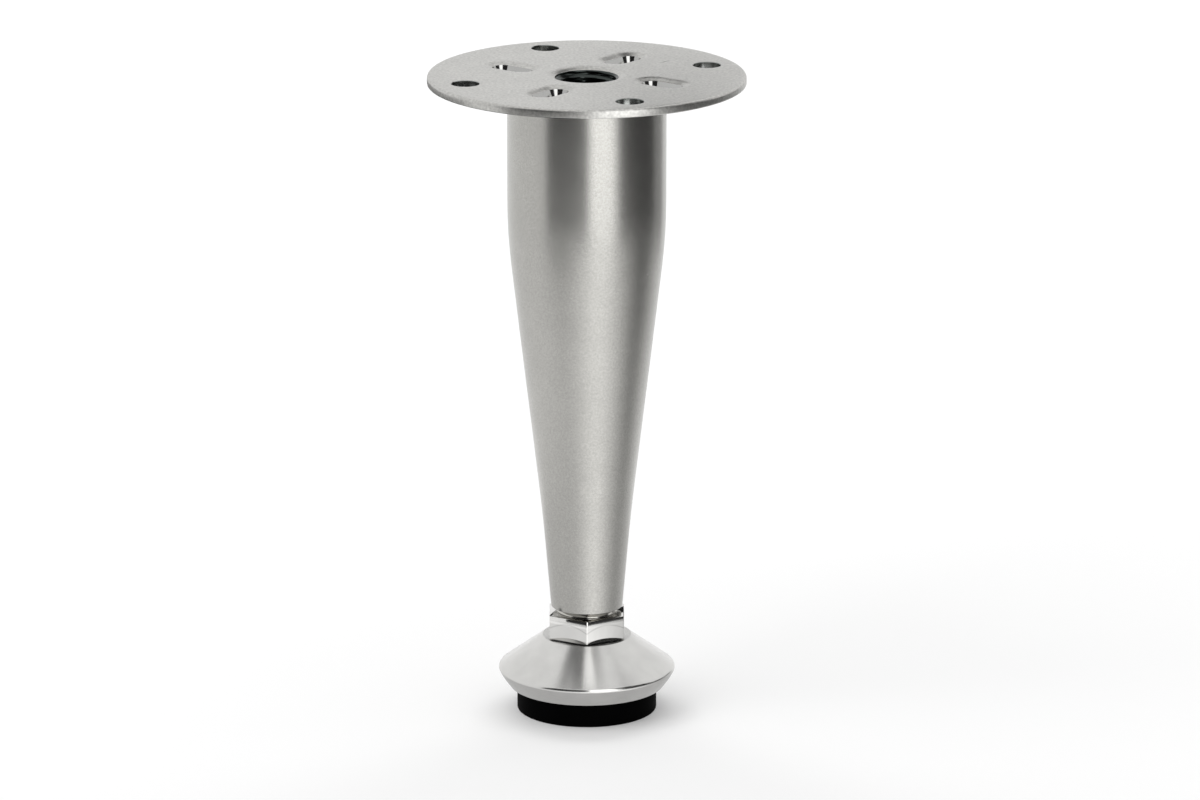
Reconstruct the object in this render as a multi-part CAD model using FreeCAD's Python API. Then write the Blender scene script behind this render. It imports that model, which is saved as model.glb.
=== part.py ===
import FreeCAD, Part
import math
import os
from FreeCAD import Vector

# Metal sofa leg with a mounting plate on top, a tapered tube and an adjustable foot.
# Millimetres, +Z up, origin on the floor under the centre of the foot's pad.

# Driving dimensions: heights above the floor
leg_height = 166.0
tube_bottom_z = 27.8
tube_shoulder_z = 125.0
tube_knee_z = 52.0
nut_bottom_z = 19.8
rim_z = 11.1
cone_bottom_z = 6.4

# Driving dimensions: mounting plate
plate_d = 80.0
plate_t = 2.2
plate_rim_round = 0.8
screw_circle_d = 64.0
screw_hole_d = 7.0
screw_hole_count = 4
screw_hole_angle = 19.3

# Driving dimensions: drawn and tapped collar in the middle of the plate
collar_thread_d = 16.0
collar_wall = 1.6
collar_drop = 5.2
collar_root_round = 1.2
collar_flare_r = 4.2
collar_flare_depth = 0.74
flare_flats = 3

# Driving dimensions: pressed projections that the tube is welded to
projection_count = 4
projection_circle_d = 41.6
projection_angle = 64.2
projection_skew = -12.0
projection_length = 14.6
projection_width = 9.6
projection_depth = 0.8
projection_nub_inset = 1.1
slot_length = 9.6
slot_width = 3.6
slot_lip_margin = 1.1
slot_lip_depth = 0.6

# Driving dimensions: tube
tube_d = 40.0
tube_knee_d = 22.5
tube_end_d = 18.2
tube_wall = 1.5
tube_shoulder_round = 30.0

# Driving dimensions: bush, spindle and lock nut
spindle_thread_d = 12.0
thread_clearance = 0.05
bush_seat_d = 14.6
bush_seat_length = 10.0
bush_nose_d = 15.7
spindle_length = 34.0
spindle_point = 0.5
nut_width = 19.0
nut_height = 6.0
nut_countersink = 0.4
nut_play = 0.3

# Driving dimensions: neck, washer and peened end that hold the spindle in the foot
neck_d = 8.0
neck_clearance = 0.05
neck_length = 6.6
washer_d = 16.0
washer_t = 1.6
washer_play = 0.2
peened_d = 11.0
peened_t = 1.4

# Driving dimensions: foot and pad
cone_top_d = 22.6
rim_corner_d = 45.54
rim_round = 0.9
cone_bottom_d = 39.4
undercut_bulge = 0.2
pocket_d = 32.6
pad_d = 35.6
pad_seat_depth = 2.85
pad_edge_break = 0.3

# Heights and radii that follow from the driving dimensions
plate_bottom_z = leg_height - plate_t
nut_top_z = nut_bottom_z + nut_height
foot_top_z = nut_bottom_z - nut_play
pad_top_z = cone_bottom_z + pad_seat_depth
collar_r = collar_thread_d / 2
threaded_r = spindle_thread_d / 2
tapped_r = threaded_r + thread_clearance


# Shared ways of making a turned piece
def outline(corners):
    """Closed outline in the XZ plane through (radius, height, rounding) corners.

    A rounding is made of two flats that touch the true arc."""
    points = []
    for i, (r, z, rounding) in enumerate(corners):
        here = Vector(r, 0, z)
        if rounding > 0:
            before = corners[i - 1]
            after = corners[(i + 1) % len(corners)]
            back = (Vector(before[0], 0, before[1]) - here).normalize()
            ahead = (Vector(after[0], 0, after[1]) - here).normalize()
            half = back.getAngle(ahead) / 2
            inward = (back + ahead).normalize()
            points.append(here + back * (rounding / math.tan(half)))
            points.append(here + inward * (rounding / math.sin(half) - rounding))
            points.append(here + ahead * (rounding / math.tan(half)))
        else:
            points.append(here)
    return Part.makePolygon(points + points[:1])


def turned(wire):
    """Solid made by turning an outline about the leg's axis."""
    return Part.Face(wire).revolve(Vector(0, 0, 0), Vector(0, 0, 1), 360)


def countersink(bore_r, z, depth, towards):
    """Cone that breaks a bore's edge; towards is +1 for an upper face and -1 for a lower one."""
    return Part.makeCone(bore_r + depth, bore_r, depth, Vector(0, 0, z), Vector(0, 0, -towards))


def around(count, first_angle):
    """Angles in degrees of a pattern spaced evenly round the axis."""
    return [first_angle + 360.0 * i / count for i in range(count)]


# Mounting plate: one pressed disc with screw holes, a tapped collar and four weld projections
def obround(length, width, z):
    """Slot-shaped outline along X at a height."""
    half = (length - width) / 2
    r = width / 2
    back = Part.LineSegment(Vector(half, r, z), Vector(-half, r, z)).toShape()
    left = Part.Arc(Vector(-half, r, z), Vector(-half - r, 0, z), Vector(-half, -r, z)).toShape()
    front = Part.LineSegment(Vector(-half, -r, z), Vector(half, -r, z)).toShape()
    right = Part.Arc(Vector(half, -r, z), Vector(half + r, 0, z), Vector(half, r, z)).toShape()
    return Part.Wire([back, left, front, right])


def funnel():
    """Solid of the punch that presses and pierces a projection: a soft dish, then a steep funnel."""
    lip_length = slot_length + 2 * slot_lip_margin
    lip_width = slot_width + 2 * slot_lip_margin
    mouth = obround(projection_length, projection_width, leg_height)
    lip = obround(lip_length, lip_width, leg_height - slot_lip_depth)
    slot = obround(slot_length, slot_width, plate_bottom_z - projection_depth)
    dish = Part.makeLoft([mouth, lip], True, True)
    throat = Part.makeLoft([lip, slot], True, True)
    return dish.fuse(throat)


def placed_projection(shape, angle):
    """Turns a shape made along X at the axis to a projection's place on the plate."""
    placed = shape.copy()
    placed.rotate(Vector(0, 0, 0), Vector(0, 0, 1), projection_skew)
    placed.translate(Vector(projection_circle_d / 2, 0, 0))
    placed.rotate(Vector(0, 0, 0), Vector(0, 0, 1), angle)
    return placed


def flare_cutter():
    """Ring removed where the plate curves down into the collar, its arc made of flats."""
    lip_angle = math.acos(1 - collar_flare_depth / collar_flare_r)
    brim_r = collar_r + collar_flare_r * math.sin(lip_angle)
    points = [Vector(0, 0, leg_height)]
    for i in range(flare_flats + 1):
        angle = lip_angle * i / flare_flats
        drop = collar_flare_r * (1 - math.cos(angle))
        points.append(Vector(brim_r - collar_flare_r * math.sin(angle), 0, leg_height - drop))
    points.append(Vector(0, 0, leg_height - collar_flare_depth))
    return turned(Part.makePolygon(points + points[:1]))


def make_mounting_plate():
    outer_r = collar_r + collar_wall
    collar_bottom_z = plate_bottom_z - collar_drop
    plate = turned(outline([
        (collar_r, leg_height, 0),
        (plate_d / 2, leg_height, plate_rim_round),
        (plate_d / 2, plate_bottom_z, 0),
        (outer_r, plate_bottom_z, collar_root_round),
        (outer_r, collar_bottom_z, 0),
        (collar_r, collar_bottom_z, 0),
    ]))
    plate = plate.cut(flare_cutter())
    nub_length = projection_length - 2 * projection_nub_inset
    nub_width = projection_width - 2 * projection_nub_inset
    nub_outline = obround(nub_length, nub_width, plate_bottom_z - projection_depth)
    nub = Part.Face(nub_outline).extrude(Vector(0, 0, projection_depth))
    for angle in around(projection_count, projection_angle):
        plate = plate.fuse(placed_projection(nub, angle))
        plate = plate.cut(placed_projection(funnel(), angle))
    hole_place = Vector(screw_circle_d / 2, 0, plate_bottom_z)
    for angle in around(screw_hole_count, screw_hole_angle):
        hole = Part.makeCylinder(screw_hole_d / 2, plate_t, hole_place)
        hole.rotate(Vector(0, 0, 0), Vector(0, 0, 1), angle)
        plate = plate.cut(hole)
    return plate.removeSplitter()


# Tube: welded steel, a straight head and a long spun taper whose wall thickens downwards
def make_leg_tube(plate):
    head_inner_r = tube_d / 2 - tube_wall
    seat_top_z = tube_bottom_z + bush_seat_length
    tube = turned(outline([
        (tube_d / 2, plate_bottom_z, 0),
        (tube_d / 2, tube_shoulder_z, tube_shoulder_round),
        (tube_knee_d / 2, tube_knee_z, 0),
        (tube_end_d / 2, tube_bottom_z, 0),
        (bush_seat_d / 2, tube_bottom_z, 0),
        (bush_seat_d / 2, seat_top_z, 0),
        (head_inner_r, tube_shoulder_z, 0),
        (head_inner_r, plate_bottom_z, 0),
    ]))
    return tube.cut(plate)


# Bush: pressed into the small end, with a nose that bears on the tube and carries the load
def make_threaded_bush():
    top_z = tube_bottom_z + bush_seat_length
    nose = Part.makeCylinder(bush_nose_d / 2, tube_bottom_z - nut_top_z, Vector(0, 0, nut_top_z))
    seat = Part.makeCylinder(bush_seat_d / 2, bush_seat_length, Vector(0, 0, tube_bottom_z))
    bore = Part.makeCylinder(tapped_r, top_z - nut_top_z, Vector(0, 0, nut_top_z))
    return nose.fuse(seat).cut(bore)


# Spindle: threaded stud with a neck that turns in the foot and a peened lower end
def make_adjusting_spindle():
    top_z = foot_top_z + spindle_length
    washer_bottom_z = foot_top_z - neck_length - washer_play - washer_t
    head_bottom_z = washer_bottom_z - peened_t
    return turned(outline([
        (0, top_z, 0),
        (threaded_r - spindle_point, top_z, 0),
        (threaded_r, top_z - spindle_point, 0),
        (threaded_r, foot_top_z, 0),
        (neck_d / 2, foot_top_z, 0),
        (neck_d / 2, washer_bottom_z, 0),
        (peened_d / 2, washer_bottom_z, 0),
        (peened_d / 2, head_bottom_z, 0),
        (0, head_bottom_z, 0),
    ]))


def make_retaining_washer():
    top_z = foot_top_z - neck_length - washer_play
    disc = Part.makeCylinder(washer_d / 2, washer_t, Vector(0, 0, top_z - washer_t))
    hole = Part.makeCylinder(neck_d / 2, washer_t, Vector(0, 0, top_z - washer_t))
    return disc.cut(hole)


# Lock nut: thin hexagon nut with sharp polished edges, one corner straight to the front
def make_lock_nut():
    corner_r = nut_width / math.sqrt(3)
    corners = []
    for angle in around(6, -90):
        turn = math.radians(angle)
        corners.append(Vector(corner_r * math.cos(turn), corner_r * math.sin(turn), nut_bottom_z))
    hexagon = Part.Face(Part.makePolygon(corners + [corners[0]]))
    nut = hexagon.extrude(Vector(0, 0, nut_height))
    nut = nut.cut(Part.makeCylinder(tapped_r, nut_height, Vector(0, 0, nut_bottom_z)))
    nut = nut.cut(countersink(tapped_r, nut_bottom_z, nut_countersink, -1))
    return nut.cut(countersink(tapped_r, nut_top_z, nut_countersink, 1))


# Foot: cast cone with a pocket below that holds the washer, and a seat for the pad
def make_foot_base():
    bore_r = neck_d / 2 + neck_clearance
    ceiling_z = foot_top_z - neck_length
    undercut_r = (rim_corner_d + cone_bottom_d) / 4 + undercut_bulge
    undercut_z = (rim_z + cone_bottom_z) / 2
    return turned(outline([
        (bore_r, foot_top_z, 0),
        (cone_top_d / 2, foot_top_z, 0),
        (rim_corner_d / 2, rim_z, rim_round),
        (undercut_r, undercut_z, 0),
        (cone_bottom_d / 2, cone_bottom_z, 0),
        (pad_d / 2, cone_bottom_z, 0),
        (pad_d / 2, pad_top_z, 0),
        (pocket_d / 2, pad_top_z, 0),
        (pocket_d / 2, ceiling_z, 0),
        (bore_r, ceiling_z, 0),
    ]))


# Pad: moulded black rubber disc pressed into the foot
def make_rubber_pad():
    return turned(outline([
        (0, pad_top_z, 0),
        (pad_d / 2, pad_top_z, 0),
        (pad_d / 2, pad_edge_break, 0),
        (pad_d / 2 - pad_edge_break, 0, 0),
        (0, 0, 0),
    ]))


def main():
    plate = make_mounting_plate()
    pieces = {
        "mounting_plate": plate,
        "leg_tube": make_leg_tube(plate),
        "threaded_bush": make_threaded_bush(),
        "adjusting_spindle": make_adjusting_spindle(),
        "retaining_washer": make_retaining_washer(),
        "lock_nut": make_lock_nut(),
        "foot_base": make_foot_base(),
        "rubber_pad": make_rubber_pad(),
    }
    os.makedirs("parts", exist_ok=True)
    for name, shape in pieces.items():
        shape.Solids[0].exportStep("parts/" + name + ".step")


main()
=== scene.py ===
import math

import bmesh
import bpy
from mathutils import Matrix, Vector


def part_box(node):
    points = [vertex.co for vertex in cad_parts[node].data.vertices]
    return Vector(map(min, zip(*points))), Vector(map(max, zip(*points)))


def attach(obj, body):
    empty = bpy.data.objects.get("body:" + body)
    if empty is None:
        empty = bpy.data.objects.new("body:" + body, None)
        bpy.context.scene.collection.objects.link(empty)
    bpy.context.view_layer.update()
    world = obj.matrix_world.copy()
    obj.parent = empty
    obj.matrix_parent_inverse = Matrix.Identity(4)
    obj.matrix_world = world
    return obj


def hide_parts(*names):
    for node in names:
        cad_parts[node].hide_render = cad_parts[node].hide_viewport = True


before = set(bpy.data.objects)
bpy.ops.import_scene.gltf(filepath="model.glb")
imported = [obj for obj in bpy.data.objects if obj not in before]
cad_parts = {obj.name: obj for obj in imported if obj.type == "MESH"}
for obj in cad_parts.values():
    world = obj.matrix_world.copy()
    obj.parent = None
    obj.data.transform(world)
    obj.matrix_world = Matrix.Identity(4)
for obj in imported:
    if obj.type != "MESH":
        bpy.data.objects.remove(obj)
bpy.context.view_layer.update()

# Mounting plate: a stamped steel disc, satin nickel plated, that screws to the sofa's frame.
# Its middle is drawn down into a collar and tapped M16 x 2. Four ovals are pressed down and
# pierced with a slot, and the tube is welded under them.
plate_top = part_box("mounting_plate")[1][2]
plate_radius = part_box("mounting_plate")[1][0]
plate_thickness = 0.0022
plate_bottom = plate_top - plate_thickness
plate_rim_round = 0.0008
plate_burr_round = 0.0003
collar_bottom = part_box("mounting_plate")[0][2]
collar_radius = 0.008
collar_outer_radius = 0.0096
collar_root_round = 0.0012
flare_radius = 0.0042
flare_depth = 0.00074
collar_pitch = 0.002
collar_thread_depth = 0.00108
projection_count = 4
projection_circle = 0.0208
projection_angle = math.radians(64.2)
projection_skew = math.radians(-12)
projection_length = 0.0156
projection_width = 0.0096
projection_depth = 0.0008
projection_run = 0.0026
slot_length = 0.0096
slot_width = 0.0036
slot_wall_lean = math.radians(22)
slot_lip_drop = 0.9 * projection_depth
slot_lip_round = 0.0008
slot_lip_turn = math.radians(40)
screw_circle = 0.032
screw_hole_radius = 0.0035
screw_hole_angle = math.radians(19.3)
screw_hole_break = 0.00015
plate_colour = (0.51, 0.505, 0.485, 1)
cut_colour = (0.42, 0.42, 0.41, 1)
# Painted shade: the screw holes' walls are coloured darker for the shade inside the holes.
drilled_shade_colour = (0.30, 0.31, 0.30, 1)
# Painted shade: the tapped bore's colour is near black for the shade deep inside the collar.
tapped_shade_colour = (0.05, 0.058, 0.055, 1)
scratch_place = (0.0196, 0.0142, plate_top)
scratch_turn = math.radians(49)


def rounded(corners):
    """Outline points through (radius, height, rounding) corners, each rounding a fine arc."""
    degrees_a_step = 8
    points = []
    for i, (r, z, rounding) in enumerate(corners):
        if rounding == 0:
            points.append((r, 0, z))
            continue
        before = corners[i - 1]
        after = corners[(i + 1) % len(corners)]
        back = math.atan2(before[1] - z, before[0] - r)
        ahead = math.atan2(after[1] - z, after[0] - r)
        opening = (ahead - back + math.pi) % (2 * math.pi) - math.pi
        reach = rounding / math.sin(abs(opening) / 2)
        middle = back + opening / 2
        centre_r = r + reach * math.cos(middle)
        centre_z = z + reach * math.sin(middle)
        sweep = math.copysign(math.pi - abs(opening), opening)
        first = middle + math.pi + sweep / 2
        steps = max(4, round(math.degrees(abs(sweep)) / degrees_a_step))
        for step in range(steps + 1):
            angle = first - sweep * step / steps
            arc_r = centre_r + rounding * math.cos(angle)
            arc_z = centre_z + rounding * math.sin(angle)
            points.append((arc_r, 0, arc_z))
    return points


def maths(tree, operation, *values):
    """Output of one Math node, whose inputs are sockets or plain numbers."""
    node = tree.nodes.new("ShaderNodeMath")
    node.operation = operation
    for socket, value in zip(node.inputs, values):
        if isinstance(value, bpy.types.NodeSocket):
            tree.links.new(value, socket)
        else:
            socket.default_value = value
    return node.outputs[0]


def length_of(tree, x, y):
    """Length of the vector (x, y)."""
    squares = [maths(tree, "POWER", side, 2) for side in (x, y)]
    return maths(tree, "SQRT", maths(tree, "ADD", *squares))


def start_tree(name, inputs):
    """A Geometry Nodes tree with named inputs, and its input node's sockets by name."""
    tree = bpy.data.node_groups.new(name, "GeometryNodeTree")
    for label, kind in [("Geometry", "Geometry")] + inputs + [("Material", "Material")]:
        tree.interface.new_socket(label, in_out="INPUT", socket_type="NodeSocket" + kind)
    tree.interface.new_socket("Geometry", in_out="OUTPUT", socket_type="NodeSocketGeometry")
    return tree, tree.nodes.new("NodeGroupInput").outputs


def end_tree(tree, given, geometry):
    """Closes a tree with Realize Instances and Set Material, which leaves cut faces their own."""
    real = tree.nodes.new("GeometryNodeRealizeInstances")
    dressed = tree.nodes.new("GeometryNodeSetMaterial")
    end = tree.nodes.new("NodeGroupOutput")
    index = tree.nodes.new("GeometryNodeInputMaterialIndex").outputs[0]
    tree.links.new(geometry, real.inputs["Geometry"])
    tree.links.new(real.outputs["Geometry"], dressed.inputs["Geometry"])
    tree.links.new(maths(tree, "LESS_THAN", index, 0.5), dressed.inputs["Selection"])
    tree.links.new(given["Material"], dressed.inputs["Material"])
    tree.links.new(dressed.outputs["Geometry"], end.inputs["Geometry"])


def polar_place(tree):
    """Radius, angle and height of a point about the leg's axis, as fields."""
    position = tree.nodes.new("GeometryNodeInputPosition")
    split = tree.nodes.new("ShaderNodeSeparateXYZ")
    tree.links.new(position.outputs[0], split.inputs[0])
    x, y, z = split.outputs
    return length_of(tree, x, y), maths(tree, "ARCTAN2", y, x), z


def turning_tree():
    """Turns an outline, whose corners come in order, about the leg's axis as a lathe does."""
    tree, given = start_tree("turn_on_lathe", [("Segments", "Int")])
    count = tree.nodes.new("GeometryNodeAttributeDomainSize")
    tree.links.new(given["Geometry"], count.inputs["Geometry"])
    rows = count.outputs["Point Count"]
    sheet = tree.nodes.new("GeometryNodeMeshGrid")
    tree.links.new(maths(tree, "ADD", given["Segments"], 1), sheet.inputs["Vertices X"])
    tree.links.new(rows, sheet.inputs["Vertices Y"])
    index = tree.nodes.new("GeometryNodeInputIndex").outputs[0]
    column = maths(tree, "FLOOR", maths(tree, "DIVIDE", maths(tree, "ADD", index, 0.5), rows))
    row = maths(tree, "SUBTRACT", index, maths(tree, "MULTIPLY", column, rows))
    corner = tree.nodes.new("GeometryNodeSampleIndex")
    corner.data_type = "FLOAT_VECTOR"
    tree.links.new(given["Geometry"], corner.inputs["Geometry"])
    tree.links.new(tree.nodes.new("GeometryNodeInputPosition").outputs[0], corner.inputs["Value"])
    tree.links.new(row, corner.inputs["Index"])
    turn = tree.nodes.new("ShaderNodeVectorRotate")
    turn.rotation_type = "Z_AXIS"
    tree.links.new(corner.outputs["Value"], turn.inputs["Vector"])
    around = maths(tree, "MULTIPLY", column, 2 * math.pi)
    tree.links.new(maths(tree, "DIVIDE", around, given["Segments"]), turn.inputs["Angle"])
    place = tree.nodes.new("GeometryNodeSetPosition")
    tree.links.new(sheet.outputs["Mesh"], place.inputs["Geometry"])
    tree.links.new(turn.outputs[0], place.inputs["Position"])
    closed = tree.nodes.new("GeometryNodeMergeByDistance")
    closed.inputs["Distance"].default_value = 1e-6
    tree.links.new(place.outputs["Geometry"], closed.inputs["Geometry"])
    end_tree(tree, given, closed.outputs["Geometry"])
    return tree


def threading_tree():
    """Cuts a right-hand screw thread into the cylindrical surface that has the given radius."""
    sizes = ["Radius", "Depth", "Pitch", "Bottom", "Top", "Run Out"]
    inputs = [(size, "Float") for size in sizes] + [("Cut Material", "Material")]
    tree, given = start_tree("cut_screw_thread", inputs)
    radius, angle, z = polar_place(tree)
    climbed = maths(tree, "DIVIDE", z, given["Pitch"])
    turns = maths(tree, "SUBTRACT", climbed, maths(tree, "DIVIDE", angle, 2 * math.pi))
    wave = maths(tree, "PINGPONG", maths(tree, "MULTIPLY", turns, 2), 1)
    # The wave is stretched and clamped, so that crest and root keep a narrow flat.
    flank = maths(tree, "MULTIPLY_ADD", wave, 1.35, -0.15)
    tree.nodes[-1].use_clamp = True
    run_out = given["Run Out"]
    from_bottom = maths(tree, "DIVIDE", maths(tree, "SUBTRACT", z, given["Bottom"]), run_out)
    from_top = maths(tree, "DIVIDE", maths(tree, "SUBTRACT", given["Top"], z), run_out)
    full = maths(tree, "MINIMUM", from_bottom, from_top)
    depth = maths(tree, "MULTIPLY", flank, given["Depth"])
    fade = maths(tree, "MULTIPLY_ADD", full, 1, 0)
    tree.nodes[-1].use_clamp = True
    new_radius = maths(tree, "SUBTRACT", radius, maths(tree, "MULTIPLY", depth, fade))
    scale = maths(tree, "DIVIDE", new_radius, maths(tree, "MAXIMUM", radius, 1e-6))
    spread = tree.nodes.new("ShaderNodeCombineXYZ")
    tree.links.new(scale, spread.inputs["X"])
    tree.links.new(scale, spread.inputs["Y"])
    spread.inputs["Z"].default_value = 1
    moved = tree.nodes.new("ShaderNodeVectorMath")
    moved.operation = "MULTIPLY"
    tree.links.new(tree.nodes.new("GeometryNodeInputPosition").outputs[0], moved.inputs[0])
    tree.links.new(spread.outputs[0], moved.inputs[1])
    on_surface = maths(tree, "COMPARE", radius, given["Radius"], 2e-5)
    freshly_cut = tree.nodes.new("GeometryNodeSetMaterial")
    tree.links.new(given["Geometry"], freshly_cut.inputs["Geometry"])
    tree.links.new(on_surface, freshly_cut.inputs["Selection"])
    tree.links.new(given["Cut Material"], freshly_cut.inputs["Material"])
    place = tree.nodes.new("GeometryNodeSetPosition")
    tree.links.new(freshly_cut.outputs["Geometry"], place.inputs["Geometry"])
    tree.links.new(on_surface, place.inputs["Selection"])
    tree.links.new(moved.outputs[0], place.inputs["Position"])
    end_tree(tree, given, place.outputs["Geometry"])
    return tree


def pressing_tree():
    """Presses soft ovals down into a disc, evenly spaced round its axis."""
    sizes = ["Circle", "First Angle", "Skew", "Length", "Width", "Depth", "Run"]
    inputs = [("Count", "Int")] + [(size, "Float") for size in sizes]
    tree, given = start_tree("press_ovals", inputs)
    radius, angle, z = polar_place(tree)
    sector = maths(tree, "DIVIDE", 2 * math.pi, given["Count"])
    half_sector = maths(tree, "MULTIPLY", sector, 0.5)
    past = maths(tree, "ADD", maths(tree, "SUBTRACT", angle, given["First Angle"]), half_sector)
    within = maths(tree, "SUBTRACT", maths(tree, "FLOORED_MODULO", past, sector), half_sector)
    outwards = maths(tree, "MULTIPLY", radius, maths(tree, "COSINE", within))
    along = maths(tree, "SUBTRACT", outwards, given["Circle"])
    across = maths(tree, "MULTIPLY", radius, maths(tree, "SINE", within))
    cosine = maths(tree, "COSINE", given["Skew"])
    sine = maths(tree, "SINE", given["Skew"])
    along_cosine = maths(tree, "MULTIPLY", along, cosine)
    along_sine = maths(tree, "MULTIPLY", along, sine)
    across_cosine = maths(tree, "MULTIPLY", across, cosine)
    across_sine = maths(tree, "MULTIPLY", across, sine)
    lengthwise = maths(tree, "ADD", along_cosine, across_sine)
    sideways = maths(tree, "SUBTRACT", across_cosine, along_sine)
    half = maths(tree, "MULTIPLY", maths(tree, "SUBTRACT", given["Length"], given["Width"]), 0.5)
    past_half = maths(tree, "SUBTRACT", maths(tree, "ABSOLUTE", lengthwise), half)
    reach = length_of(tree, maths(tree, "MAXIMUM", past_half, 0), sideways)
    inside = maths(tree, "SUBTRACT", maths(tree, "MULTIPLY", given["Width"], 0.5), reach)
    ramp = tree.nodes.new("ShaderNodeMapRange")
    ramp.interpolation_type = "SMOOTHSTEP"
    tree.links.new(inside, ramp.inputs["Value"])
    tree.links.new(given["Run"], ramp.inputs["From Max"])
    tree.links.new(given["Depth"], ramp.inputs["To Max"])
    down = tree.nodes.new("ShaderNodeCombineXYZ")
    tree.links.new(maths(tree, "MULTIPLY", ramp.outputs["Result"], -1), down.inputs["Z"])
    place = tree.nodes.new("GeometryNodeSetPosition")
    tree.links.new(given["Geometry"], place.inputs["Geometry"])
    tree.links.new(down.outputs[0], place.inputs["Offset"])
    end_tree(tree, given, place.outputs["Geometry"])
    return tree


def piercing_tree():
    """Pierces a disc with one punch at places evenly spaced round its axis."""
    inputs = [("Punch", "Object"), ("Count", "Int"), ("Circle", "Float"), ("First Angle", "Float")]
    tree, given = start_tree("pierce_round_axis", inputs + [("Skew", "Float")])
    index = tree.nodes.new("GeometryNodeInputIndex").outputs[0]
    step = maths(tree, "DIVIDE", 2 * math.pi, given["Count"])
    angle = maths(tree, "ADD", given["First Angle"], maths(tree, "MULTIPLY", index, step))
    place = tree.nodes.new("ShaderNodeCombineXYZ")
    for axis, share in (("X", "COSINE"), ("Y", "SINE")):
        side = maths(tree, "MULTIPLY", given["Circle"], maths(tree, share, angle))
        tree.links.new(side, place.inputs[axis])
    spots = tree.nodes.new("GeometryNodePoints")
    tree.links.new(given["Count"], spots.inputs["Count"])
    tree.links.new(place.outputs[0], spots.inputs["Position"])
    turn = tree.nodes.new("ShaderNodeCombineXYZ")
    tree.links.new(maths(tree, "ADD", angle, given["Skew"]), turn.inputs["Z"])
    punch = tree.nodes.new("GeometryNodeObjectInfo")
    tree.links.new(given["Punch"], punch.inputs["Object"])
    strokes = tree.nodes.new("GeometryNodeInstanceOnPoints")
    tree.links.new(spots.outputs[0], strokes.inputs["Points"])
    tree.links.new(punch.outputs["Geometry"], strokes.inputs["Instance"])
    tree.links.new(turn.outputs[0], strokes.inputs["Rotation"])
    real = tree.nodes.new("GeometryNodeRealizeInstances")
    tree.links.new(strokes.outputs["Instances"], real.inputs["Geometry"])
    cut = tree.nodes.new("GeometryNodeMeshBoolean")
    cut.operation = "DIFFERENCE"
    cut.solver = "EXACT"
    tree.links.new(given["Geometry"], cut.inputs["Mesh 1"])
    tree.links.new(real.outputs["Geometry"], cut.inputs["Mesh 2"])
    end_tree(tree, given, cut.outputs["Mesh"])
    return tree


def new_piece(name, points, edges, faces):
    """A new object with its place in its mesh."""
    mesh = bpy.data.meshes.new(name)
    mesh.from_pydata(points, edges, faces)
    piece = bpy.data.objects.new(name, mesh)
    bpy.context.scene.collection.objects.link(piece)
    return piece


def work(piece, tree, values):
    """Runs a tree on a piece and keeps the result as the piece's own plain mesh."""
    modifier = piece.modifiers.new(tree.name, "NODES")
    modifier.node_group = tree
    for item in tree.interface.items_tree:
        if item.in_out == "INPUT" and item.name in values:
            modifier[item.identifier] = values[item.name]
    piece.update_tag()
    seen = piece.evaluated_get(bpy.context.evaluated_depsgraph_get())
    shape = bpy.data.meshes.new_from_object(seen)
    piece.modifiers.remove(modifier)
    piece.data = shape


def finish_surface(piece, sharp_from):
    """Faces outwards, smooth, with the edges sharper than that many degrees left crisp."""
    shell = bmesh.new()
    shell.from_mesh(piece.data)
    bmesh.ops.recalc_face_normals(shell, faces=shell.faces)
    for face in shell.faces:
        face.smooth = True
    shell.to_mesh(piece.data)
    shell.free()
    piece.data.set_sharp_from_angle(angle=math.radians(sharp_from))


lathe = turning_tree()
tap_and_die = threading_tree()


def turned_piece(name, points, segments, material):
    """A solid of revolution from the outline that the points go round."""
    loop = points + points[:1]
    piece = new_piece(name, loop, [(i, i + 1) for i in range(len(loop) - 1)], [])
    work(piece, lathe, {"Segments": segments, "Material": material})
    return piece


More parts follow.
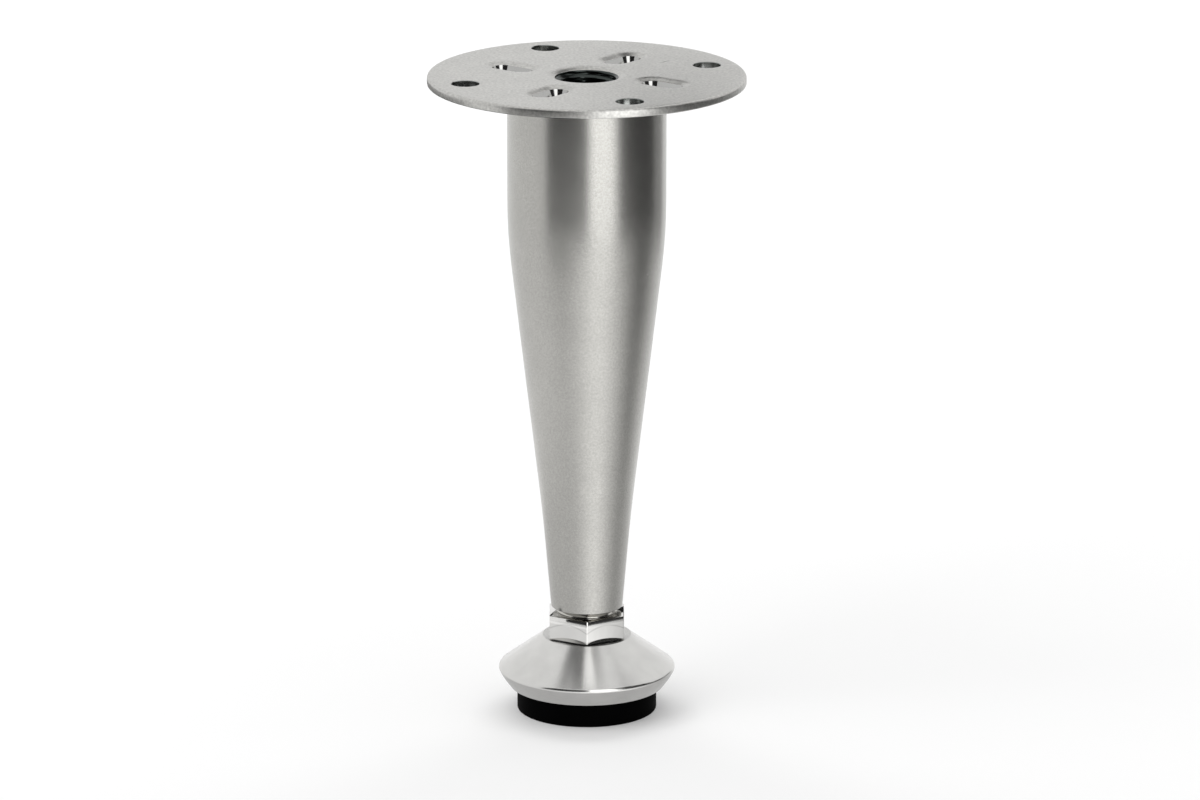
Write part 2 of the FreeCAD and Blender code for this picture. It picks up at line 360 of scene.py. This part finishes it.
def plated_metal(name, colour, roughness, mottle, grain, grain_height, fleck=0.0):
    """Plated steel: cloudy, flecked colour, uneven polish, and a grain of that size in metres."""
    material = bpy.data.materials.new(name)
    material.use_nodes = True
    tree = material.node_tree
    shader = tree.nodes["Principled BSDF"]
    shader.inputs["Metallic"].default_value = 1
    place = tree.nodes.new("ShaderNodeTexCoord").outputs["Object"]
    cloud_width = 0.00625
    clouds = tree.nodes.new("ShaderNodeTexNoise")
    clouds.inputs["Scale"].default_value = 1 / cloud_width
    clouds.inputs["Detail"].default_value = 6
    tree.links.new(place, clouds.inputs["Vector"])
    shade = tree.nodes.new("ShaderNodeMapRange")
    shade.inputs["From Min"].default_value = 0.3
    shade.inputs["From Max"].default_value = 0.7
    shade.inputs["To Min"].default_value = 1 - mottle
    shade.inputs["To Max"].default_value = 1 + mottle
    tree.links.new(clouds.outputs["Fac"], shade.inputs["Value"])
    speckle = tree.nodes.new("ShaderNodeTexNoise")
    speckle.inputs["Scale"].default_value = 1 / grain
    speckle.inputs["Detail"].default_value = 4
    tree.links.new(place, speckle.inputs["Vector"])
    flecks = maths(tree, "MULTIPLY_ADD", speckle.outputs["Fac"], fleck, 1 - fleck / 2)
    tint = tree.nodes.new("ShaderNodeVectorMath")
    tint.operation = "SCALE"
    tint.inputs[0].default_value = colour[:3]
    tree.links.new(maths(tree, "MULTIPLY", shade.outputs["Result"], flecks), tint.inputs["Scale"])
    tree.links.new(tint.outputs[0], shader.inputs["Base Color"])
    polish = tree.nodes.new("ShaderNodeMapRange")
    polish.inputs["To Min"].default_value = roughness * (1 - mottle)
    polish.inputs["To Max"].default_value = roughness * (1 + mottle)
    tree.links.new(clouds.outputs["Fac"], polish.inputs["Value"])
    tree.links.new(polish.outputs["Result"], shader.inputs["Roughness"])
    bump = tree.nodes.new("ShaderNodeBump")
    bump.inputs["Strength"].default_value = 1
    bump.inputs["Distance"].default_value = grain_height
    tree.links.new(speckle.outputs["Fac"], bump.inputs["Height"])
    tree.links.new(bump.outputs["Normal"], shader.inputs["Normal"])
    return material


def soft_spot(tree, distance):
    """1 at no distance, falling softly to nearly 0 at a distance of 2."""
    square = maths(tree, "POWER", distance, 2)
    return maths(tree, "EXPONENT", maths(tree, "MULTIPLY", square, -1))


def darken(material, spot, strength):
    """Takes that share off a material's colour where the spot is 1."""
    tree = material.node_tree
    colour = tree.nodes["Principled BSDF"].inputs["Base Color"]
    tint = tree.nodes.new("ShaderNodeVectorMath")
    tint.operation = "SCALE"
    tree.links.new(colour.links[0].from_socket, tint.inputs[0])
    tree.links.new(maths(tree, "MULTIPLY_ADD", spot, -strength, 1), tint.inputs["Scale"])
    tree.links.new(tint.outputs[0], colour)


def dark_mark(material, place, turn, reach, strength):
    """Darkens a scratch or a nick at one place, of that reach along each axis, turned about Z."""
    tree = material.node_tree
    local = tree.nodes.new("ShaderNodeMapping")
    local.vector_type = "TEXTURE"
    local.inputs["Location"].default_value = place
    local.inputs["Rotation"].default_value = (0, 0, turn)
    local.inputs["Scale"].default_value = reach
    tree.links.new(tree.nodes.new("ShaderNodeTexCoord").outputs["Object"], local.inputs["Vector"])
    away = tree.nodes.new("ShaderNodeVectorMath")
    away.operation = "LENGTH"
    tree.links.new(local.outputs[0], away.inputs[0])
    darken(material, soft_spot(tree, away.outputs["Value"]), strength)


satin_plate = plated_metal(
    "satin_plate_nickel", plate_colour,
    roughness=0.36, mottle=0.04, grain=0.0007, grain_height=0.00002, fleck=0.9,
)
dark_mark(satin_plate, scratch_place, scratch_turn, reach=(0.0014, 0.0002, 0.001), strength=0.9)
cut_plate = plated_metal(
    "cut_edges_nickel", cut_colour,
    roughness=0.10, mottle=0.06, grain=0.0006, grain_height=0.000003,
)
# Painted shade: darker walls for the shade inside the screw holes.
drilled_shade_plate = plated_metal(
    "drilled_walls_painted_shade", drilled_shade_colour,
    roughness=0.22, mottle=0.10, grain=0.0006, grain_height=0.000006,
)
# Painted shade: the tapped bore is coloured near black for the shade inside it.
tapped_shade_steel = plated_metal(
    "tapped_thread_painted_shade", tapped_shade_colour,
    roughness=0.25, mottle=0.10, grain=0.0006, grain_height=0.000003,
)
flare_sweep = math.acos(1 - flare_depth / flare_radius)
brim_radius = collar_radius + flare_radius * math.sin(flare_sweep)
lip_height = plate_top - flare_depth
bore_rows = 44
flare_rows = 12
blank = []
for i in range(bore_rows + 1):
    blank.append((collar_radius, 0, collar_bottom + (lip_height - collar_bottom) * i / bore_rows))
for i in range(1, flare_rows + 1):
    angle = flare_sweep * (1 - i / flare_rows)
    drop = flare_radius * (1 - math.cos(angle))
    blank.append((brim_radius - flare_radius * math.sin(angle), 0, plate_top - drop))
# The rings lie close together where the ovals are pressed.
pressed_rings = [0.013 + 0.0004 * i for i in range(41)]
sheet_rings = [0.0113, 0.0122] + pressed_rings + [0.031, 0.034, 0.037]
blank += [(r, 0, plate_top) for r in sheet_rings]
blank += rounded([
    (brim_radius, plate_top, 0),
    (plate_radius, plate_top, plate_rim_round),
    (plate_radius, plate_bottom, plate_burr_round),
    (brim_radius, plate_bottom, 0),
])[1:-1]
blank += [(r, 0, plate_bottom) for r in reversed(sheet_rings)]
blank += rounded([
    (brim_radius, plate_bottom, 0),
    (collar_outer_radius, plate_bottom, collar_root_round),
    (collar_outer_radius, collar_bottom, 0),
])[1:]
plate = turned_piece("pressed_plate", blank, segments=300, material=satin_plate)
work(plate, tap_and_die, {
    "Radius": collar_radius, "Depth": collar_thread_depth, "Pitch": collar_pitch,
    "Bottom": collar_bottom, "Top": lip_height, "Run Out": collar_pitch / 3,
    "Cut Material": tapped_shade_steel, "Material": satin_plate,
})
work(plate, pressing_tree(), {
    "Count": projection_count, "Circle": projection_circle, "First Angle": projection_angle,
    "Skew": projection_skew, "Length": projection_length, "Width": projection_width,
    "Depth": projection_depth, "Run": projection_run, "Material": satin_plate,
})
punch_low = plate_bottom - 2 * projection_depth
punch_high = plate_top + projection_depth
half_slot = (slot_length - slot_width) / 2
slope = math.tan(slot_wall_lean)
nub_bottom = plate_bottom - projection_depth
lip_start = plate_top - slot_lip_drop
lip_steps = 8
punch_levels = [
    (punch_low, (punch_low - nub_bottom) * slope),
    (lip_start, (lip_start - nub_bottom) * slope),
]
for i in range(1, lip_steps + 1):
    lean = slot_wall_lean + slot_lip_turn * i / lip_steps
    rise = slot_lip_round * (math.sin(lean) - math.sin(slot_wall_lean))
    spread = slot_lip_round * (math.cos(slot_wall_lean) - math.cos(lean))
    punch_levels.append((lip_start + rise, punch_levels[1][1] + spread))
last_z, last_margin = punch_levels[-1]
last_slope = math.tan(slot_wall_lean + slot_lip_turn)
punch_levels.append((punch_high, last_margin + (punch_high - last_z) * last_slope))
sides = 66
slot_points = []
for z, margin in punch_levels:
    for i in range(sides):
        end = 1 if i < sides / 2 else -1
        angle = math.pi * (i % (sides // 2) / (sides // 2 - 1) - 0.5)
        reach = slot_width / 2 + margin
        lengthwise = half_slot + reach * math.cos(angle)
        slot_points.append((end * lengthwise, end * reach * math.sin(angle), z))
slot_faces = []
for level in range(len(punch_levels) - 1):
    for i in range(sides):
        low, lower = level * sides + i, level * sides + (i + 1) % sides
        slot_faces.append((low, lower, lower + sides, low + sides))
slot_faces.append(tuple(reversed(range(sides))))
slot_faces.append(tuple(range(len(slot_points) - sides, len(slot_points))))
slot_punch = new_piece("slot_punch", slot_points, [], slot_faces)
slot_punch.data.materials.append(cut_plate)
edge_top = screw_hole_radius + screw_hole_break + punch_high - plate_top
hole_punch = turned_piece("hole_punch", [
    (0, 0, punch_low),
    (screw_hole_radius, 0, punch_low),
    (screw_hole_radius, 0, plate_top - screw_hole_break),
    (edge_top, 0, punch_high),
    (0, 0, punch_high),
], segments=96, material=drilled_shade_plate)
pierce = piercing_tree()
for punch, circle, angle, skew in (
    (slot_punch, projection_circle, projection_angle, projection_skew),
    (hole_punch, screw_circle, screw_hole_angle, 0.0),
):
    finish_surface(punch, sharp_from=30)
    finish_surface(plate, sharp_from=30)
    work(plate, pierce, {
        "Punch": punch, "Count": projection_count, "Circle": circle,
        "First Angle": angle, "Skew": skew, "Material": satin_plate,
    })
    bpy.data.objects.remove(punch)
finish_surface(plate, sharp_from=32)
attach(plate, "root")
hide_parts("mounting_plate")

# Leg tube: round steel tube, spun to a long taper below a straight head, then satin nickel
# plated. Its head is welded under the plate, and its small end is bored for the bush.
tube_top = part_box("leg_tube")[1][2]
tube_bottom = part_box("leg_tube")[0][2] - 0.0006
tube_head_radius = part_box("leg_tube")[1][0]
tube_shoulder = 0.125
tube_knee = 0.052
tube_knee_radius = 0.01125
tube_end_radius = 0.0091
tube_wall = 0.0015
tube_shoulder_round = 0.150
tube_knee_round = 0.5
tube_end_round = 0.0003
bush_seat_radius = 0.0073
bush_seat_length = 0.010
tube_colour = (0.40, 0.395, 0.375, 1)
nick_place = (-0.0067, -0.0062, tube_bottom + 0.0004)

satin_tube = plated_metal(
    "satin_tube_nickel", tube_colour,
    roughness=0.27, mottle=0.03, grain=0.0005, grain_height=0.000006, fleck=0.4,
)
dark_mark(satin_tube, nick_place, 0.0, reach=(0.0005, 0.0006, 0.0006), strength=0.8)
tube = turned_piece("spun_tube", rounded([
    (tube_head_radius, tube_top, 0),
    (tube_head_radius, tube_shoulder, tube_shoulder_round),
    (tube_knee_radius, tube_knee, tube_knee_round),
    (tube_end_radius, tube_bottom, tube_end_round),
    (bush_seat_radius, tube_bottom, 0),
    (bush_seat_radius, tube_bottom + bush_seat_length, 0),
    (tube_head_radius - tube_wall, tube_shoulder, 0),
    (tube_head_radius - tube_wall, tube_top, 0),
]), segments=256, material=satin_tube)
finish_surface(tube, sharp_from=32)
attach(tube, "root")
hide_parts("leg_tube")

# Threaded bush: a turned steel plug pressed into the tube's small end. Its bright nose stands
# out of the tube and bears on it, and its M12 thread carries the spindle.
bush_nose_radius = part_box("threaded_bush")[1][0]
nose_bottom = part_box("threaded_bush")[0][2]
nose_top_radius = 0.0070
bush_bore_radius = 0.00605
nose_edge_round = 0.0002
bush_end_round = 0.0003
bush_bore_round = 0.0004
bush_colour = (0.50, 0.49, 0.46, 1)

bright_steel = plated_metal(
    "bright_turned_steel", bush_colour,
    roughness=0.12, mottle=0.06, grain=0.0009, grain_height=0.000004,
)
bush = turned_piece("bush", rounded([
    (bush_nose_radius, nose_bottom, nose_edge_round),
    (nose_top_radius, tube_bottom, 0),
    (bush_seat_radius, tube_bottom, 0),
    (bush_seat_radius, tube_bottom + bush_seat_length, bush_end_round),
    (bush_bore_radius, tube_bottom + bush_seat_length, bush_bore_round),
    (bush_bore_radius, nose_bottom, bush_bore_round),
]), segments=128, material=bright_steel)
finish_surface(bush, sharp_from=32)
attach(bush, "root")
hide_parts("threaded_bush")

# Adjusting spindle: an M12 x 1.75 stud, zinc plated. Its neck turns in the foot, and its lower
# end is peened over the washer. The thread shows when the foot is screwed out.
spindle_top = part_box("adjusting_spindle")[1][2]
spindle_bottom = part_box("adjusting_spindle")[0][2]
spindle_radius = 0.00596
spindle_pitch = 0.00175
spindle_thread_depth = 0.00102
spindle_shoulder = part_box("foot_base")[1][2]
spindle_point = 0.0009
neck_radius = 0.004
peened_radius = 0.0055
peened_round = 0.0006
washer_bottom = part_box("retaining_washer")[0][2]
zinc_colour = (0.52, 0.52, 0.50, 1)

zinc_steel = plated_metal(
    "zinc_plated_steel", zinc_colour,
    roughness=0.25, mottle=0.06, grain=0.0005, grain_height=0.000008,
)
thread_rows = 250
# The thread fades in at the shoulder and runs out over the top.
thread_overrun = 0.001
thread_top = spindle_top - spindle_point
thread_length = thread_top - spindle_shoulder
stud = [(0, 0, spindle_bottom)]
stud += rounded([
    (0, spindle_bottom, 0),
    (peened_radius, spindle_bottom, peened_round),
    (peened_radius, washer_bottom, 0),
    (neck_radius, washer_bottom, 0),
    (neck_radius, spindle_shoulder, 0),
])[1:]
for i in range(thread_rows + 1):
    stud.append((spindle_radius, 0, spindle_shoulder + thread_length * i / thread_rows))
stud += [(spindle_radius - spindle_point, 0, spindle_top), (0, 0, spindle_top)]
spindle = turned_piece("threaded_spindle", stud, segments=96, material=zinc_steel)
work(spindle, tap_and_die, {
    "Radius": spindle_radius, "Depth": spindle_thread_depth, "Pitch": spindle_pitch,
    "Bottom": spindle_shoulder, "Top": thread_top + thread_overrun,
    "Run Out": spindle_pitch / 3, "Cut Material": zinc_steel, "Material": zinc_steel,
})
finish_surface(spindle, sharp_from=40)
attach(spindle, "spindle")
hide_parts("adjusting_spindle")

# Retaining washer: a punched steel ring on the spindle's neck inside the foot, held by the
# peened end. It keeps the foot on the spindle.
washer_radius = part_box("retaining_washer")[1][0]
washer_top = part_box("retaining_washer")[1][2]
washer_burr_round = 0.0002
washer_punched_round = 0.0004

washer = turned_piece("neck_washer", rounded([
    (neck_radius, washer_bottom, 0),
    (washer_radius, washer_bottom, washer_burr_round),
    (washer_radius, washer_top, washer_punched_round),
    (neck_radius, washer_top, 0),
]), segments=96, material=zinc_steel)
finish_surface(washer, sharp_from=32)
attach(washer, "spindle")
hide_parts("retaining_washer")

# Lock nut: a thin M12 hexagon nut, 19 mm across flats, polished and chromed, with crisp
# edges. It is tightened up against the bush's nose, and one corner faces the camera.
nut_bottom, nut_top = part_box("lock_nut")[0][2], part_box("lock_nut")[1][2]
nut_width = 2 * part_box("lock_nut")[1][0]
nut_edge_break = 0.00005
nut_corner_round = 0.0005
nut_bore_radius = 0.00605
# Painted reflection: lean, drop, width and strength of a thin dark arch painted on each flat.
nut_reflection_arc_lean = 1.07
nut_reflection_arc_drop = 0.0016
nut_reflection_arc_width = 0.00020
nut_reflection_arc_strength = 0.20
nut_colour = (0.67, 0.665, 0.65, 1)

polished_chrome = plated_metal(
    "polished_chrome", nut_colour,
    roughness=0.055, mottle=0.04, grain=0.0012, grain_height=0.000003,
)
# Painted reflection: a thin dark arch is painted on each flat, lower towards the corners.
nut_nodes = polished_chrome.node_tree
nut_place = nut_nodes.nodes.new("ShaderNodeTexCoord").outputs["Object"]
nut_split = nut_nodes.nodes.new("ShaderNodeSeparateXYZ")
nut_nodes.links.new(nut_place, nut_split.inputs[0])
nut_x, nut_y, nut_z = nut_split.outputs
past_flat = maths(nut_nodes, "SUBTRACT", length_of(nut_nodes, nut_x, nut_y), nut_width / 2)
below_reflection_arc = maths(nut_nodes, "MULTIPLY_ADD", past_flat, nut_reflection_arc_lean, nut_reflection_arc_drop - nut_top)
from_reflection_arc = maths(nut_nodes, "DIVIDE", maths(nut_nodes, "ADD", below_reflection_arc, nut_z), nut_reflection_arc_width)
darken(polished_chrome, soft_spot(nut_nodes, from_reflection_arc), nut_reflection_arc_strength)
corner_centre = (nut_width - 2 * nut_corner_round) / math.sqrt(3)
corner_steps = 4
bore_steps = 48
sixth = bore_steps // 6
hexagon = []
for i in range(6):
    corner = math.radians(60 * i - 90)
    for step in range(corner_steps):
        turn = corner + math.radians(60 * step / (corner_steps - 1) - 30)
        hexagon.append((
            corner_centre * math.cos(corner) + nut_corner_round * math.cos(turn),
            corner_centre * math.sin(corner) + nut_corner_round * math.sin(turn),
        ))
bore = []
for i in range(bore_steps):
    angle = 2 * math.pi * i / bore_steps - math.pi / 2
    bore.append((nut_bore_radius * math.cos(angle), nut_bore_radius * math.sin(angle)))
nut_points = [(x, y, z) for z in (nut_bottom, nut_top) for x, y in hexagon + bore]
outer = len(hexagon)
level = outer + bore_steps
nut_faces = [(i, (i + 1) % outer, level + (i + 1) % outer, level + i) for i in range(outer)]
for i in range(6):
    edge = [(corner_steps * i + k) % outer for k in range(corner_steps, -1, -1)]
    arc = [outer + (sixth * i + k) % bore_steps for k in range(sixth + 1)]
    nut_faces.append(tuple(edge + arc))
    nut_faces.append(tuple(reversed([level + p for p in edge + arc])))
for i in range(bore_steps):
    j = (i + 1) % bore_steps
    nut_faces.append((outer + j, outer + i, level + outer + i, level + outer + j))
nut = new_piece("hexagon_nut", nut_points, [], nut_faces)
nut.data.materials.append(polished_chrome)
softened = nut.modifiers.new("edge_break", "BEVEL")
softened.width = nut_edge_break
softened.segments = 2
softened.limit_method = "ANGLE"
softened.angle_limit = math.radians(30)
seen_nut = nut.evaluated_get(bpy.context.evaluated_depsgraph_get())
nut_shape = bpy.data.meshes.new_from_object(seen_nut)
nut.modifiers.remove(softened)
nut.data = nut_shape
finish_surface(nut, sharp_from=25)
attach(nut, "nut")
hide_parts("lock_nut")

# Foot: a cast cone, turned smooth and chromed to a satin, so that its light runs round it in
# rings. It is undercut below the rim, and its pocket holds the washer and the pad.
foot_top = spindle_shoulder
foot_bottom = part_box("foot_base")[0][2]
foot_top_radius = 0.0113
foot_rim_radius = 0.02277
foot_rim = 0.0111
foot_rim_round = 0.0009
foot_lip_radius = 0.0197
foot_lip_round = 0.0003
pad_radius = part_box("rubber_pad")[1][0]
pad_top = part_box("rubber_pad")[1][2]
pocket_radius = 0.0163
pocket_ceiling = 0.0126
foot_bore_radius = 0.00405
undercut_radius = (foot_rim_radius + foot_lip_radius) / 2 + 0.0002
undercut_height = (foot_rim + foot_bottom) / 2
undercut_round = 0.014
foot_colour = (0.62, 0.615, 0.60, 1)

satin_chrome = plated_metal(
    "satin_turned_chrome", foot_colour,
    roughness=0.22, mottle=0.05, grain=0.0006, grain_height=0.000006,
)
foot_nodes = satin_chrome.node_tree
foot_shader = foot_nodes.nodes["Principled BSDF"]
foot_shader.inputs["Anisotropic"].default_value = 0.65
foot_shader.inputs["Anisotropic Rotation"].default_value = 0.25
tool_marks = foot_nodes.nodes.new("ShaderNodeTangent")
tool_marks.direction_type = "RADIAL"
tool_marks.axis = "Z"
foot_nodes.links.new(tool_marks.outputs[0], foot_shader.inputs["Tangent"])
foot = turned_piece("cone_foot", rounded([
    (foot_bore_radius, foot_top, 0),
    (foot_top_radius, foot_top, 0),
    (foot_rim_radius, foot_rim, foot_rim_round),
    (undercut_radius, undercut_height, undercut_round),
    (foot_lip_radius, foot_bottom, foot_lip_round),
    (pad_radius, foot_bottom, 0),
    (pad_radius, pad_top, 0),
    (pocket_radius, pad_top, 0),
    (pocket_radius, pocket_ceiling, 0),
    (foot_bore_radius, pocket_ceiling, 0),
]), segments=256, material=satin_chrome)
finish_surface(foot, sharp_from=32)
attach(foot, "foot")
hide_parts("foot_base")

# Pad: a disc moulded from matt black rubber, with its lower edge softly rounded. It is pressed
# into the foot's underside and grips the floor.
pad_edge_round = 0.0004
rubber_black = (0.0004, 0.0004, 0.0004, 1)
rubber_bloom = (0.0018, 0.0018, 0.0020, 1)

black_rubber = bpy.data.materials.new("black_moulded_rubber")
black_rubber.use_nodes = True
rubber = black_rubber.node_tree
rubber_shader = rubber.nodes["Principled BSDF"]
rubber_place = rubber.nodes.new("ShaderNodeTexCoord").outputs["Object"]
skin = rubber.nodes.new("ShaderNodeTexNoise")
skin.inputs["Scale"].default_value = 2600
skin.inputs["Detail"].default_value = 3
rubber.links.new(rubber_place, skin.inputs["Vector"])
bloom = rubber.nodes.new("ShaderNodeTexNoise")
bloom.inputs["Scale"].default_value = 220
bloom.inputs["Detail"].default_value = 5
rubber.links.new(rubber_place, bloom.inputs["Vector"])
black = rubber.nodes.new("ShaderNodeMix")
black.data_type = "RGBA"
black.inputs["A"].default_value = rubber_black
black.inputs["B"].default_value = rubber_bloom
rubber.links.new(bloom.outputs["Fac"], black.inputs["Factor"])
rubber.links.new(black.outputs["Result"], rubber_shader.inputs["Base Color"])
rubber_shader.inputs["Specular IOR Level"].default_value = 0.01
dull = rubber.nodes.new("ShaderNodeMapRange")
dull.inputs["To Min"].default_value = 0.45
dull.inputs["To Max"].default_value = 0.70
rubber.links.new(bloom.outputs["Fac"], dull.inputs["Value"])
rubber.links.new(dull.outputs["Result"], rubber_shader.inputs["Roughness"])
skin_bump = rubber.nodes.new("ShaderNodeBump")
skin_bump.inputs["Distance"].default_value = 0.00002
rubber.links.new(skin.outputs["Fac"], skin_bump.inputs["Height"])
rubber.links.new(skin_bump.outputs["Normal"], rubber_shader.inputs["Normal"])
pad = turned_piece("moulded_pad", rounded([
    (0, pad_top, 0),
    (pad_radius, pad_top, 0),
    (pad_radius, 0, pad_edge_round),
    (0, 0, 0),
]), segments=192, material=black_rubber)
finish_surface(pad, sharp_from=32)
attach(pad, "foot")
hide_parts("rubber_pad")

# Studio: a plain white floor and surround, with two soft lamps. The floor goes up and down
# with the foot. Dark and pale cards stand and lie round the leg, out of sight, and the satin
# metal mirrors them.
floor_size = 6.0
floor_albedo = 0.80
floor_glow = 0.12
surround_light = 0.72
sheet_height = 0.0010


def seen_or_mirrored(tree):
    """1 for camera, glossy and transmission rays, and 0 for the rest."""
    path = tree.nodes.new("ShaderNodeLightPath").outputs
    either = maths(tree, "MAXIMUM", path["Is Camera Ray"], path["Is Glossy Ray"])
    return maths(tree, "MAXIMUM", either, path["Is Transmission Ray"])


world = bpy.data.worlds.new("white_surround")
bpy.context.scene.world = world
world.use_nodes = True
sky = world.node_tree
backdrop = sky.nodes["Background"]
backdrop.inputs["Color"].default_value = (1, 1, 1, 1)
sky_level = maths(sky, "MULTIPLY_ADD", seen_or_mirrored(sky), 1 - surround_light, surround_light)
sky.links.new(sky_level, backdrop.inputs["Strength"])

half_floor = floor_size / 2
floor = new_piece("studio_floor", [
    (-half_floor, -half_floor, 0), (half_floor, -half_floor, 0),
    (half_floor, half_floor, 0), (-half_floor, half_floor, 0),
], [], [(0, 1, 2, 3)])
paper = bpy.data.materials.new("white_paper_floor")
paper.use_nodes = True
paper_shader = paper.node_tree.nodes["Principled BSDF"]
paper_shader.inputs["Base Color"].default_value = (floor_albedo, floor_albedo, floor_albedo, 1)
paper_shader.inputs["Roughness"].default_value = 1
paper_shader.inputs["Specular IOR Level"].default_value = 0
paper_shader.inputs["Emission Color"].default_value = (1, 1, 1, 1)
glow = maths(paper.node_tree, "MULTIPLY", seen_or_mirrored(paper.node_tree), floor_glow)
paper.node_tree.links.new(glow, paper_shader.inputs["Emission Strength"])
floor.data.materials.append(paper)
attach(floor, "foot")


def bell(azimuth, middle, width):
    """1 at the middle azimuth, falling softly to 0 either side of it."""
    return math.exp(-((azimuth - middle) / width) ** 2)


def card(name, from_azimuth, to_azimuth, near, far, low, high, glow_at):
    """A curved card round the leg. Azimuth is 0 towards the camera and grows to the right.

    The card's lower edge has the radius near and the height low, its upper edge far and high.
    """
    steps = 60
    azimuths = [from_azimuth + (to_azimuth - from_azimuth) * i / steps for i in range(steps + 1)]
    points = []
    for azimuth in azimuths:
        turn = math.radians(azimuth)
        points.append((near * math.sin(turn), -near * math.cos(turn), low))
        points.append((far * math.sin(turn), -far * math.cos(turn), high))
    faces = [(2 * i, 2 * i + 2, 2 * i + 3, 2 * i + 1) for i in range(steps)]
    piece = new_piece(name, points, [], faces)
    levels = piece.data.attributes.new("glow", "FLOAT", "POINT")
    for i in range(len(points)):
        levels.data[i].value = glow_at(azimuths[i // 2])
    surface = bpy.data.materials.new(name)
    surface.use_nodes = True
    shader = surface.node_tree.nodes["Principled BSDF"]
    shader.inputs["Base Color"].default_value = (0, 0, 0, 1)
    shader.inputs["Specular IOR Level"].default_value = 0
    shader.inputs["Emission Color"].default_value = (1, 1, 1, 1)
    level = surface.node_tree.nodes.new("ShaderNodeAttribute")
    level.attribute_name = "glow"
    surface.node_tree.links.new(level.outputs["Fac"], shader.inputs["Emission Strength"])
    piece.data.materials.append(surface)
    piece.visible_camera = False
    piece.visible_diffuse = False
    piece.visible_shadow = False
    if high == sheet_height:
        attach(piece, "foot")


def plain_card(name, from_azimuth, to_azimuth, near, far, low, high, glow):
    """A card of one brightness."""
    card(name, from_azimuth, to_azimuth, near, far, low, high, lambda azimuth: glow)


def floor_sheet(name, near, far, level, left_dip, peak, peak_width, right_dip):
    """A sheet flat on the floor, brightest towards the camera and darker at its sides."""
    def glow_at(azimuth):
        left = left_dip * bell(azimuth, -38, 22)
        right = right_dip * bell(azimuth, 90, 30)
        return level - left + peak * bell(azimuth, 18, peak_width) - right
    card(name, -160, 160, near, far, sheet_height, sheet_height, glow_at)


# Standing cards, whose mirror images make the dark and bright bands down the tube's head.
# The figures are from and to azimuth, near and far radius, low and high edge, and glow.
plain_card("left_dark_card", -59, 2, 0.46, 0.46, 0.014, 0.80, 0.03)
plain_card("left_low_card", -59, 2, 0.46, 0.46, 0.002, 0.014, 0.33)
plain_card("middle_pale_card", 4, 40, 0.46, 0.46, 0.002, 0.80, 2.3)
plain_card("right_dark_card", 47, 94, 0.42, 0.42, 0.016, 0.80, 0.04)
plain_card("right_short_card", 94, 112, 0.42, 0.42, 0.016, 0.15, 0.04)
plain_card("right_low_card", 47, 112, 0.42, 0.42, 0.002, 0.016, 0.18)
plain_card("right_grey_card", 112, 138, 0.42, 0.42, 0.002, 0.15, 0.40)
# Sheets on the floor, which the taper, the nut and the undercut mirror. The figures are near
# and far radius, level, left dip, peak, peak width and right dip.
floor_sheet("near_sheet", 0.034, 0.145, 0.90, 0.00, 0.66, 34, 0.28)
floor_sheet("middle_sheet", 0.145, 0.240, 1.14, 0.06, 0.45, 34, 0.62)
floor_sheet("far_sheet", 0.240, 0.41, 1.06, 0.42, 0.74, 24, 0.84)
plain_card("foot_shade_sheet", 0, 360, 0.0183, 0.034, sheet_height, sheet_height, 0.60)
# Small cards under and over the plate, which the cone, the nut's top and the flare mirror. Painted
# shade: the cards just under and beside the plate's rim stand in for its shaded underside, darkest
# on the left.
plain_card("under_plate_left_card", -170, -2, 0.0215, 0.0430, 0.160, 0.160, 0.02)
plain_card("beside_plate_card", -125, -60, 0.0430, 0.0600, 0.160, 0.160, 0.25)
plain_card("under_plate_right_card", 14, 170, 0.0215, 0.0385, 0.160, 0.160, 0.50)


def stripe_glow(azimuth):
    """The near sheet's brightness, so that the tube doesn't show the cone's own card."""
    return 0.90 + 0.66 * bell(azimuth, 18, 34)


card("cone_light_card", -9, 19, 0.0123, 0.025, 0.060, 0.060, stripe_glow)
plain_card("behind_nut_card", 162, 198, 0.10, 0.10, 0.0558, 0.080, 0.02)
plain_card("behind_right_card", 138, 172, 0.028, 0.080, 0.21, 0.21, 0.03)

key = bpy.data.lights.new("key_softbox", "AREA")
key.shape = "RECTANGLE"
key.size = 1.8
key.size_y = 1.8
key.energy = 15
key_lamp = bpy.data.objects.new("key_softbox", key)
key_lamp.visible_glossy = False
key_lamp.location = (-1.50, -0.90, 1.90)
key_lamp.rotation_euler = (math.radians(42.6), 0, math.radians(-59))
bpy.context.scene.collection.objects.link(key_lamp)

strip = bpy.data.lights.new("rear_strip", "AREA")
strip.shape = "RECTANGLE"
strip.size = 3.2
strip.size_y = 0.9
strip.energy = 29
strip_lamp = bpy.data.objects.new("rear_strip", strip)
strip_lamp.visible_glossy = False
strip_lamp.location = (0, 1.60, 2.20)
strip_lamp.rotation_euler = (math.radians(-36), 0, 0)
bpy.context.scene.collection.objects.link(strip_lamp)

# Camera: the photograph's angle, a long lens 15.5 degrees above the horizon. The frame is
# 1200 x 800, and the leg's axis stands a little left of its middle.
camera = bpy.data.cameras.new("studio_camera")
camera.sensor_width = 36
camera.lens = 207.18
camera.shift_x = 0.011
camera_stand = bpy.data.objects.new("studio_camera", camera)
camera_stand.location = (0, -1.68671, 0.54781)
camera_stand.rotation_euler = (math.radians(74.544), 0, 0)
bpy.context.scene.collection.objects.link(camera_stand)
bpy.context.scene.camera = camera_stand
bpy.context.scene.view_settings.view_transform = "Standard"
